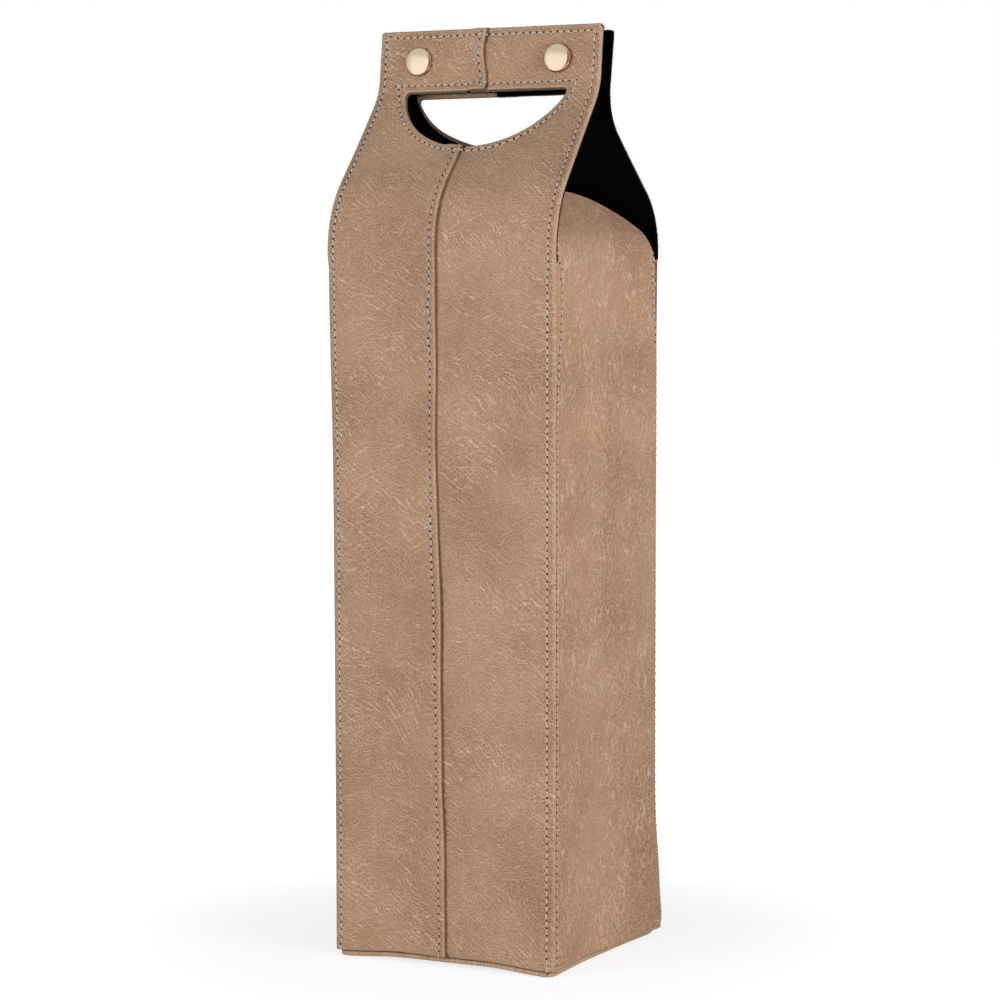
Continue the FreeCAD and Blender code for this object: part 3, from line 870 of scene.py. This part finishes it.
def leather_material(name, heading, spacing, length, least, cross, cell, crackle, dark, pale):
    """Creased hide: strands at a heading in degrees, their spacing and length in mm and two strengths,
    then the cells' size in mm and their strength, and the hide's two tones."""
    material, flow, link = surface(name, Specular_IOR_Level=0.3, Sheen_Weight=0.12, Sheen_Roughness=0.4)
    flat = flow.node("ShaderNodeUVMap", {"uv_map": "flat"})

    def drifted(place, scale, reach):
        """Coordinates pushed about by a noise, so that lines on them wander."""
        push = flow.vector("SUBTRACT", flow.noise(place, scale, 1, 0.5, 1), (0.5, 0.5, 0.5))
        return flow.vector("ADD", place, flow.vector("SCALE", push, reach))

    swirled = drifted(flat, 20, 0.024)
    ruffled = drifted(swirled, 970 / spacing, 0.0009 * spacing)

    def strands(turn, width):
        """Thin broken lines side by side, each one a contour line."""
        def drawn(place, slim):
            return flow.stretched(place, heading + turn, (1.0, slim, 1.0))

        across = flow.node("ShaderNodeSeparateXYZ", None, {0: drawn(ruffled, 1.0)}, 1)
        level = across * (1000 / spacing) + flow.noise(drawn(swirled, 0.5), 1000 / length, 1) * 3.2
        fade = flow.noise(drawn(ruffled, 0.2), 1600 / length, 1).ramp(0.36, 0.62)
        return level.math("PINGPONG", level, 0.5).ramp(width, 0.0) * fade

    def spots(shift, scale, low, high):
        """Soft patches, different for each shift."""
        return flow.noise(flow.vector("ADD", flat, (shift, 0.0, 0.0)), scale, 3, 0.6).ramp(low, high)

    clouds, patches, others = spots(0, 20, 0.3, 0.7), spots(2, 36, 0.36, 0.64), spots(5, 42, 0.38, 0.62)
    cells = flow.node("ShaderNodeTexVoronoi", {"feature": "DISTANCE_TO_EDGE"}, {
        "Vector": drifted(swirled, 625 / cell, 0.0005 * cell), "Scale": 1000 / cell}).ramp(0.25 / cell, 0.0)
    grain = flow.noise(flat, 1700, 1, 0.6).ramp(0.38, 0.62)
    creases = strands(0, 0.27) * (patches * 0.45 + least) + strands(50, 0.24) * (others * cross)
    creases = creases + cells * crackle
    creases = creases.math("MINIMUM", creases, 1.0)
    edge = flow.edge()
    # Painted light from the edge distance: a painted highlight along the turned edges, which are also a little
    # less rough there, and a painted shade right at each edge and under it.
    edge_highlight, under = edge.ramp(1.5, 0.5), edge.ramp(0.5, 0.1)

    hide = flow.mixed(clouds * 0.34 + grain * 0.46 - 0.04, colour(*dark), colour(*pale))
    for share, tone in ((creases, CREASE_TONE), (edge_highlight * 0.3, EDGE_HIGHLIGHT_TONE), (under * 0.75, EDGE_SHADE_TONE)):
        hide = flow.mixed(share, hide, colour(*tone))
    link(hide, "Base Color")
    link(0.60 - creases * 0.1 - edge_highlight * 0.08 + (grain - 0.5) * 0.16, "Roughness")
    link(flow.bumps(creases * 0.9 + grain * 0.2, 1.0, 0.00045), "Normal")
    return material


panel_leather = leather_material(
    "panel_leather", heading=-36, spacing=1.4, length=10, least=0.14, cross=0.42, cell=1.25, crackle=0.2,
    dark=(0.225, 0.123, 0.067), pale=(0.53, 0.33, 0.206))
# The sides' tones are a little paler and warmer than the panels'.
sides_leather = leather_material(
    "sides_leather", heading=72, spacing=2.0, length=10, least=0.06, cross=0.3, cell=2.6, crackle=0.4,
    dark=(0.240, 0.120, 0.061), pale=(0.56, 0.333, 0.199))
for side, pieces in leather.items():
    for piece in pieces:
        piece.data.materials.append(panel_leather if side in FACES else sides_leather)
base.data.materials.append(panel_leather)
print("leather on", sum(map(len, leather.values())) + 1, "pieces")

# %% [markdown]
# ## Felt, metal and board
#
# Felt is very dark and rough with a soft sheen at glancing angles. The press studs are polished pale
# gold with a trace of unevenness, so that their reflections aren't perfect. Spring wire and board are
# hidden most of the time but get a finish of their own. Each finish is one noise between two tones: a
# picture of felt or board would show no more at this size.

# %% Other materials
def speckled(name, scale, detail, dark, pale, **values):
    """A finish whose colour wavers between two tones."""
    material, flow, link = surface(name, **values)
    link(flow.mixed(flow.noise(flow.place(), scale, detail), colour(*dark), colour(*pale)), "Base Color")
    return material


def felt_material():
    material, flow, link = surface("felt", Specular_IOR_Level=0.02, Sheen_Weight=0.008, Sheen_Roughness=0.5)
    tufts = flow.noise(flow.place(), 900, 4, 0.65)
    link(flow.mixed(tufts, colour(0.0004, 0.0004, 0.0004), colour(0.0028, 0.0026, 0.0027)), "Base Color")
    link(0.9 + (tufts - 0.5) * 0.15, "Roughness")
    link(flow.bumps(tufts, 0.8, 0.0006), "Normal")
    return material


def metal_material(name, tint, polish, rim=None):
    """Polished metal. With a rim colour, a painted reflection of the leather deepens it towards the edge
    distance zero.
    """
    material, flow, link = surface(name, Metallic=1.0)
    cloud = flow.noise(flow.place(), 220)
    metal = flow.mixed(cloud, colour(*tint), colour(*[c * 0.93 for c in tint]))
    if rim:
        metal = flow.mixed(flow.edge().ramp(0.9, 0.1), metal, colour(*rim))
    link(metal, "Base Color")
    link(polish + cloud * 0.08, "Roughness")
    return material


felt_black = felt_material()
board_grey = speckled("board", 700, 3, (0.27, 0.25, 0.22), (0.36, 0.34, 0.30), Roughness=0.9)
gold = metal_material("pale_gold", (0.93, 0.755, 0.58), 0.14)
# The brown rim colour is a painted reflection of the leather on the caps' shoulders.
cap_gold = metal_material("cap_gold", (0.95, 0.765, 0.58), 0.14, (0.62, 0.36, 0.15))
steel = metal_material("spring_steel", (0.55, 0.56, 0.58), 0.25)
for piece in felt.values():
    piece.data.materials.append(felt_black)
for name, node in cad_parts.items():
    if "snap" in name or "board" in name:
        node.data.materials.clear()
        node.data.materials.append(steel if "spring" in name else gold if "snap" in name else board_grey)
print("finishes:", ", ".join(each.name for each in (felt_black, board_grey, gold, cap_gold, steel)))

# %% [markdown]
# ## Caps
#
# The caps are what the eye finds first, and the mesh that comes from CAD shows facets there. So they are
# turned again as smooth shells, as on a lathe: a section is drawn with a nearly flat face and a round
# shoulder, and swept round in small steps. A Screw modifier would do the same, but here each ring of
# points can also keep its distance from the rim, which places a painted brown reflection of the leather
# on the metal's shoulder.

# %% Caps
STUD_SPACING, STUD_DROP = 62.8, 13.4
CAP_RADIUS, CAP_HEIGHT, CAP_STEPS = 6.0, 1.7, 60


def cap_shell(name, across):
    """A cap on the front bar. Its section runs from the middle of the face to the rim's foot."""
    line = LINES["front"]
    middle = line.length - STUD_DROP
    top, face, fall, drop = CAP_HEIGHT + 0.4, 4.7, 0.3, 1.16
    dome = [(radius, top - fall * (radius / face) ** 2) for radius in np.linspace(0.0, face, 12)[1:]]
    shoulder = arc((face - 0.1, top - fall - drop), (CAP_RADIUS - face + 0.1, drop), 83, -50, 20)
    section = np.vstack([dome, shoulder, [(CAP_RADIUS - 0.6, -0.1)]])
    angles = np.radians(np.arange(0, 360, 360 / CAP_STEPS))
    points = [line.place(across + radius * np.cos(angles), middle + radius * np.sin(angles),
                         np.full(CAP_STEPS, -height)) for radius, height in section]
    points.append(line.place(np.array([across]), np.array([middle]), np.array([-top])))

    last = len(section) * CAP_STEPS
    steps = [(k, (k + 1) % CAP_STEPS) for k in range(CAP_STEPS)]
    faces = [[ring + k, ring + after, ring - CAP_STEPS + after, ring - CAP_STEPS + k]
             for ring in range(CAP_STEPS, last, CAP_STEPS) for k, after in steps]
    faces += [[k, after, last] for k, after in steps]
    # The distance from the rim places the painted reflection of the leather on the shoulder.
    edge = np.append(np.repeat(CAP_RADIUS - section[:, 0], CAP_STEPS), CAP_RADIUS)
    made = mesh_object(name, np.vstack(points), faces, None, edge)
    made.data.materials.append(cap_gold)
    return made


for side, across in (("left", -STUD_SPACING / 2), ("right", STUD_SPACING / 2)):
    cap = cap_shell(f"{side}_cap", across)
    stands_for(cap, "pale_gold", f"{side}_snap_cap")
    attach(cap, "front_flap")

# %% [markdown]
# ## Growing things with Geometry Nodes
#
# Stitches and loose fibres repeat hundreds of times and have to follow the leather and felt, so node
# trees make them. A tree has named inputs for its sizes and a seed. Copies on points are only instances
# until they are realized, and the result is taken over as a plain mesh, so that nothing is left to
# work out later.

# %% Growing helpers
def tree_with(name, output, **inputs):
    """A new Geometry Nodes tree: the tree, its flow and one flow for each named input."""
    tree = bpy.data.node_groups.new(name, "GeometryNodeTree")
    for each, kind in inputs.items():
        tree.interface.new_socket(name=each, in_out="INPUT", socket_type=f"NodeSocket{kind}")
    tree.interface.new_socket(name=output, in_out="OUTPUT", socket_type="NodeSocketGeometry")
    flow = Flow(tree)
    given = flow.node("NodeGroupInput")
    return tree, flow, [given.other(each) for each in inputs]


def bent_rod(flow, steps, start, middle, end, sides, gauge):
    """A thin rod along a bent path, with closed ends."""
    path = flow.node("GeometryNodeCurveQuadraticBezier", None, {
        "Resolution": steps, "Start": start, "Middle": middle, "End": end})
    ring = flow.node("GeometryNodeCurvePrimitiveCircle", None, {"Resolution": sides, "Radius": gauge * 0.5})
    return flow.node("GeometryNodeCurveToMesh", None, {
        "Curve": path, "Profile Curve": ring, "Fill Caps": True})


def copies(flow, material, **sockets):
    """Copies of a piece on points, as real geometry with its material."""
    many = flow.node("GeometryNodeInstanceOnPoints", None, sockets)
    many = flow.node("GeometryNodeRealizeInstances", None, {"Geometry": many})
    return flow.node("GeometryNodeSetMaterial", None, {"Geometry": many, "Material": material})


def grown(name, source, tree, **inputs):
    """The mesh that a Geometry Nodes tree makes from a source object, as a plain object."""
    modifier = source.modifiers.new("grow", "NODES")
    modifier.node_group = tree
    for socket in tree.interface.items_tree:
        if socket.in_out == "INPUT" and socket.name in inputs:
            modifier[socket.identifier] = inputs[socket.name]
    evaluated = source.evaluated_get(bpy.context.evaluated_depsgraph_get())
    mesh = bpy.data.meshes.new_from_object(evaluated)
    source.modifiers.clear()
    print(name, len(mesh.polygons), "faces")
    return linked(name, mesh)


# %% [markdown]
# ## Stitches
#
# The thread is pale and a little thick, and between each two stitches a small dark speck paints the shade
# in the needle's hole. A picture of stitches would lie flat, but these catch the light. The tree takes a
# row drawn as a curve, steps along it by the stitch pitch, drops each step on the leather's real surface
# and sets a small arched thread there, lying along the row and square to the leather.

# %% Stitch tree
thread = speckled("thread", 1600, 2, (0.40, 0.355, 0.32), (0.60, 0.545, 0.50),
                  Roughness=0.75, Specular_IOR_Level=0.25)
# The needle holes are dark specks: painted shade in each hole.
needle_hole_shade = speckled("needle_hole_shade", 1200, 1, (0.012, 0.008, 0.006), (0.035, 0.022, 0.015),
                       Roughness=0.9, Specular_IOR_Level=0.1)


def stitch_tree():
    """Rows in, sewn thread and the painted shade of the needle holes out."""
    tree, flow, given = tree_with(
        "sew_rows", "Sewn", Rows="Geometry", Leather="Object", Pitch="Float", Length="Float", Thread="Float",
        Slant="Float", Seed="Int")
    rows, target, pitch, length, gauge, slant, seed = given

    steps = flow.node("GeometryNodeCurveToPoints", {"mode": "LENGTH"}, {"Curve": rows, "Length": pitch})
    skin = flow.node("GeometryNodeObjectInfo", {"transform_space": "RELATIVE"}, {"Object": target}, "Geometry")
    spot = flow.node("GeometryNodeProximity", {"target_element": "FACES"}, {0: skin})
    square = flow.node("GeometryNodeSampleNearestSurface", {"data_type": "FLOAT_VECTOR"}, {
        "Mesh": skin, "Value": flow.node("GeometryNodeInputNormal")})
    laid = flow.node("GeometryNodeSetPosition", None, {"Geometry": steps, "Position": spot})
    along = flow.node("FunctionNodeAlignRotationToVector", {"axis": "X"}, {"Vector": steps.other("Tangent")})
    facing = flow.node("FunctionNodeAlignRotationToVector", {"axis": "Z", "pivot_axis": "X"}, {
        "Rotation": along, "Vector": square})
    dice = flow.node("FunctionNodeRandomValue", {"data_type": "FLOAT"}, {2: -0.07, 3: 0.07, "Seed": seed}, 1)
    lean = flow.node("FunctionNodeEulerToRotation", None, {0: flow.xyz(Z=slant + dice)})
    lying = flow.node("FunctionNodeRotateRotation", {"rotation_space": "LOCAL"}, {
        "Rotation": facing, "Rotate By": lean})

    start, end = (flow.xyz(X=length * reach, Z=gauge * -0.45) for reach in (-0.5, 0.5))
    stitch = bent_rod(flow, 5, start, flow.xyz(Z=gauge * 1.1), end, 6, gauge)
    # A flat dark speck half a pitch on: painted shade of the needle hole.
    hole = flow.node("GeometryNodeMeshUVSphere", None, {"Segments": 8, "Rings": 4, "Radius": gauge * 0.62})
    hole = flow.node("GeometryNodeTransform", None, {
        "Geometry": hole, "Translation": flow.xyz(X=pitch * 0.5), "Scale": (1.4, 0.9, 0.5)})
    sewn = []
    for piece, material in ((stitch, thread), (hole, needle_hole_shade)):
        piece = flow.node("GeometryNodeSetShadeSmooth", None, {"Geometry": piece})
        sewn.append(copies(flow, material, Points=laid, Instance=piece, Rotation=lying))
    sewn = flow.node("GeometryNodeJoinGeometry", None, {"Geometry": sewn})
    flow.node("NodeGroupOutput", None, {"Sewn": sewn})
    return tree


SEW = stitch_tree()
print(SEW.name, "has", len(SEW.nodes), "nodes")

# %% [markdown]
# ## Where the rows run
#
# One row follows the sides and top of each panel, one goes round the hand hole with square corners, and
# one holds the lap in the middle. Each side panel has a row along both corner seams, which swings away
# from the corner near the top, where the tongue begins to lean. The rows are drawn flat, like the
# outlines, so they keep their distance from an edge in every bend.

# %% Stitch rows
ROW_START = 1.5


def panel_rows(line):
    """Round the panel, round the hand hole, and up the lap below and above the hole."""
    side, top = HALF - STITCH_ROW, line.length - STITCH_ROW
    around = np.array([(-side, ROW_START), (-side, top), (side, top), (side, ROW_START)])
    tilt = math.degrees(math.asin((line.centre - line.chord - STITCH_ROW) / (line.moon + STITCH_ROW)))
    moon = arc((0, line.centre), line.moon + STITCH_ROW, 180 + tilt, 360 - tilt, 60)
    low = lapped(ROW_START, line.hole_low - STITCH_ROW) - (LAP_ROW, 0)
    high = lapped(line.chord + STITCH_ROW, top) - (LAP_ROW, 0)
    return [around, np.vstack([moon, moon[:1]]), low, high]


def side_rows():
    """Up along the corner, away from it near the top, and in a small hook back to it."""
    station = np.linspace(ROW_START, SEAM_END - 4, 120)
    across = HALF - 3.6 - 3.6 * smooth(SEAM_END - 62, SEAM_END - 14, station)
    hook = arc((HALF - 12.2, SEAM_END - 4), (5.0, 9.0), 0, 58, 8)[1:]
    hook = hook + np.linspace(0, 6.2, len(hook))[:, None] * (1, 0)
    row = np.vstack([np.column_stack([across, station]), hook])
    tack = np.array([(HALF - 7.0, SEAM_END - 5.5), (HALF - 3.4, SEAM_END - 9.5)])
    return [each * (sign, 1) for each in (row, tack) for sign in (1, -1)]


print("rows on a panel:", len(panel_rows(LINES["front"])), "on a side:", len(side_rows()))

# %% [markdown]
# ## Sewing
#
# Each row is mapped onto its panel, a little outside the leather, so that the nearest leather is always
# the outer face. For that the mapping has to know how deep the leather lies under a row: it rises at the
# lap and sinks towards the side seams.

# %% Sewing
STITCH_PITCH, STITCH_LENGTH, THREAD = 3.05, 2.0, 0.64
HOVER = 0.15


def over_panel(across, station):
    """How deep a row lies on a front or back panel, where the leather rises at its lap."""
    gap = lap_line(station) - across
    return np.where(gap > 0, -lap_rise(gap), 0.0) - HOVER


def over_side(across, station):
    """How deep a row lies on a side panel, which sinks towards its seams."""
    return side_pillow(SIDE_HALF - np.abs(across)) - HOVER


def row_curve(rows):
    """A curve object whose splines run through rows of points in millimetres."""
    curve = bpy.data.curves.new("rows", "CURVE")
    curve.dimensions = "3D"
    for row in rows:
        spline = curve.splines.new("POLY")
        spline.points.add(len(row) - 1)
        spline.points.foreach_set("co", np.column_stack([row * MM, np.ones(len(row))]).ravel())
    return linked("rows", curve)


def sew(name, side, rows, over):
    """Sews rows on the leather of one side."""
    flats = [np.vstack([evenly(row, 1.0), row[-1:]]) for row in rows]
    source = row_curve([on_side(side)(*flat.T, over(*flat.T)) for flat in flats])
    points, faces = [], []
    for piece in leather[side]:
        start = len(points)
        points += [v.co for v in piece.data.vertices]
        faces += [[start + v for v in face.vertices] for face in piece.data.polygons]
    target = linked("target", bpy.data.meshes.new("target"))
    target.data.from_pydata(points, [], faces)
    sewn = grown(name, source, SEW, Leather=target, Pitch=STITCH_PITCH * MM, Length=STITCH_LENGTH * MM,
                 Thread=THREAD * MM, Slant=math.radians(5), Seed=3)
    for spent in (source, target):
        bpy.data.objects.remove(spent)
    return sewn


stitches = {side: sew(f"{side}_stitches", side, panel_rows(LINES[side]), over_panel) for side in FACES}
for side in SIDES:
    stitches[side] = sew(f"{side}_side_stitches", side, side_rows(), over_side)

# %% [markdown]
# ## Loose fibres
#
# Felt sheds. A second Geometry Nodes tree strews points on the felt close to its cut edges, above the
# body only, and stands a short bent fibre on each. Hair particles could do it, but they don't leave a
# mesh behind. The edge distance kept in the mesh picks the faces.

# %% Fibres
def fibre_tree():
    """Felt in, a fringe of short fibres out."""
    tree, flow, given = tree_with(
        "felt_fringe", "Fringe", Felt="Geometry", Density="Float", Length="Float", Thick="Float",
        Reach="Float", Lowest="Float", Seed="Int")
    cloth, density, length, thick, reach, lowest, seed = given

    edge = flow.node("GeometryNodeInputNamedAttribute", {"data_type": "FLOAT"}, {"Name": "edge"})
    height = flow.node("ShaderNodeSeparateXYZ", None, {0: flow.node("GeometryNodeInputPosition")}, 2)
    chosen = edge.math("LESS_THAN", edge, reach) * height.math("GREATER_THAN", height, lowest)
    spots = flow.node("GeometryNodeDistributePointsOnFaces", None, {
        "Mesh": cloth, "Selection": chosen, "Density": density, "Seed": seed})
    tilt = flow.node("FunctionNodeRandomValue", {"data_type": "FLOAT_VECTOR"}, {
        0: (-0.9, -0.9, -3.1), 1: (0.9, 0.9, 3.1), "Seed": seed})
    tilt = flow.node("FunctionNodeEulerToRotation", None, {0: tilt})
    standing = flow.node("FunctionNodeRotateRotation", {"rotation_space": "LOCAL"}, {
        "Rotation": spots.other("Rotation"), "Rotate By": tilt})
    size = flow.node("FunctionNodeRandomValue", {"data_type": "FLOAT"}, {2: 0.4, 3: 1.3, "Seed": seed + 1}, 1)

    middle, tip = flow.xyz(X=length * 0.15, Z=length * 0.6), flow.xyz(X=length * 0.6, Z=length)
    fibre = bent_rod(flow, 3, (0, 0, 0), middle, tip, 3, thick)
    fringe = copies(flow, felt_black, Points=spots, Instance=fibre, Rotation=standing, Scale=size)
    flow.node("NodeGroupOutput", None, {"Fringe": fringe})
    return tree


FRINGE = fibre_tree()
fringes = {}
for number, side in enumerate(LINES):
    fringes[side] = grown(f"{side}_fringe", felt[side], FRINGE, Density=1.2e6, Length=0.7 * MM,
                          Thick=0.09 * MM, Reach=1.6, Lowest=0.288, Seed=number)

# %% [markdown]
# ## Bake the sheets, tie the base to the body
#
# A flap is joined to the body by nothing but its own leather and felt, which bend. The sheets are final
# now. For each wall the ends of the line's first arc and the flap or tongue above it are worked out, and
# every piece on it has its transform baked into its mesh. The base leather and felt are tied to the carcass.

# %% Ties
def bend(piece, side):
    """Works out the ends of the line's first arc and the flap or tongue above it, and bakes a finished piece's
    transform into its mesh.
    """
    ends = np.array([run[0] for run in LINES[side].starts[1:3]])
    start, stop = on_side(side)(np.zeros(2), ends, np.zeros(2)) * MM
    body = f"{side}_flap" if side in FACES else f"{side}_tongue"
    tuple(start)
    tuple(stop)
    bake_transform(piece)


for side in LINES:
    tied = [*leather[side], felt[side], stitches[side], fringes[side]]
    for piece in tied:
        bend(piece, side)
    print(side, "bends", len(tied), "pieces")
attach(felt["base"], "carcass")
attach(base, "carcass")

# %% [markdown]
# ## Camera
#
# The camera stands to the right of the front, a little above the middle, far off with a long lens, so
# that upright edges stay nearly parallel. Its shift moves the picture without turning the camera, as a
# photographer does to keep such edges upright.

# %% Camera
AIM = Vector((0, 0, 0.200))
YAW, PITCH, RANGE = math.radians(26.3), math.radians(3.75), 1.3
camera = linked("camera", bpy.data.cameras.new("camera"))
camera.data.lens, camera.data.sensor_width = 113.6, 36.0
camera.data.shift_x, camera.data.shift_y = 0.004, -0.0365
away = Vector((math.sin(YAW) * math.cos(PITCH), -math.cos(YAW) * math.cos(PITCH), math.sin(PITCH)))
camera.location = AIM + away * RANGE
camera.rotation_euler = away.to_track_quat("Z", "Y").to_euler()
bpy.context.scene.camera = camera
print(f"camera {RANGE} m away, lens {camera.data.lens:.1f} mm")

# %% [markdown]
# ## Floor
#
# The floor is white paper that keeps the contact shadow. A share of it glows for the camera only, less
# close to the bag, so that it joins the white background without more light on the leather.

# %% Floor
FLOOR_HALF = 3000
paper, flow, _ = surface("paper", Base_Color=colour(0.9, 0.9, 0.9), Roughness=0.9)
lit = Flow(flow.tree, flow.tree.nodes["Principled BSDF"].outputs[0])
seen = flow.node("ShaderNodeLightPath", None, None, "Is Camera Ray")
glow = flow.node("ShaderNodeEmission", None, {"Color": colour(1, 1, 1), "Strength": 1.2})
far = flow.node("ShaderNodeVectorMath", {"operation": "LENGTH"}, {0: flow.place()}, 1).ramp(0.08, 0.3)
both = flow.node("ShaderNodeMixShader", None, {0: seen * (far * 0.35 + 0.65), 1: lit, 2: glow})
flow.tree.links.new(both.socket, flow.tree.nodes["Material Output"].inputs["Surface"])
corners = np.array([(-1, -1, 0), (1, -1, 0), (1, 1, 0), (-1, 1, 0)]) * FLOOR_HALF
floor = mesh_object("floor", corners, [[0, 1, 2, 3]])
floor.data.materials.append(paper)
print("floor", 2 * FLOOR_HALF * MM, "m wide")

# %% [markdown]
# ## Light
#
# Two large soft lights stand at the left and the right of the camera, and the room itself gives a low
# even light. The room is white for the camera and brighter in reflections, so that the background is
# clear and polished metal has something to show. The lamps themselves don't appear in reflections.

# %% Light
def softbox(name, place, aim, size, power):
    """A square area light that looks at a point."""
    lamp = linked(name, bpy.data.lights.new(name, "AREA"))
    lamp.data.size, lamp.data.energy = size, power
    lamp.visible_glossy = False
    lamp.location = place
    lamp.rotation_euler = (Vector(place) - Vector(aim)).to_track_quat("Z", "Y").to_euler()
    print(name, power, "W")


softbox("left_softbox", (-0.75, -1.4, 0.42), (0, 0, 0.19), 0.9, 17.5)
softbox("right_softbox", (1.0, -0.25, 0.34), (0, 0, 0.2), 0.6, 8.4)

room = bpy.data.worlds.new("room")
bpy.context.scene.world = room
room.use_nodes = True
flow = Flow(room.node_tree)
background = room.node_tree.nodes["Background"]
background.inputs["Color"].default_value = colour(1, 1, 1)
path = flow.node("ShaderNodeLightPath", None, None, "Is Camera Ray")
clear = path.math("MAXIMUM", path, path.other("Is Transmission Ray"))
strength = 0.22 + clear * 0.78 + path.other("Is Glossy Ray") * 0.4
room.node_tree.links.new(strength.socket, background.inputs["Strength"])
bpy.context.scene.view_settings.view_transform = "Standard"

# %% [markdown]
# ## Cards
#
# Polished metal shows its surroundings, so a photographer sets up cards around it. A white card at the
# left fills the faces of the caps, and a dark one at the right gives them an edge. Only reflections can
# see the cards, so they don't change the light on the leather.

# %% Cards
def mirror_card(name, left, right, top, strength):
    """An upright card between two places on the ground plan. It glows evenly and reflects nothing."""
    corners = [(*left, -100), (*right, -100), (*right, top), (*left, top)]
    card = mesh_object(name, np.array(corners), [[0, 1, 2, 3]])
    card.data.materials.append(surface(
        name, Base_Color=colour(0, 0, 0), Emission_Color=colour(1, 1, 1), Emission_Strength=strength)[0])
    card.visible_camera = card.visible_diffuse = card.visible_shadow = card.visible_transmission = False
    print(name, "glows", strength)


mirror_card("white_card", left=(-900, -1060), right=(-40, -1500), top=880, strength=1.02)
mirror_card("dark_card", left=(80, -1550), right=(1150, -950), top=1300, strength=0.12)

# %% [markdown] ## Finish
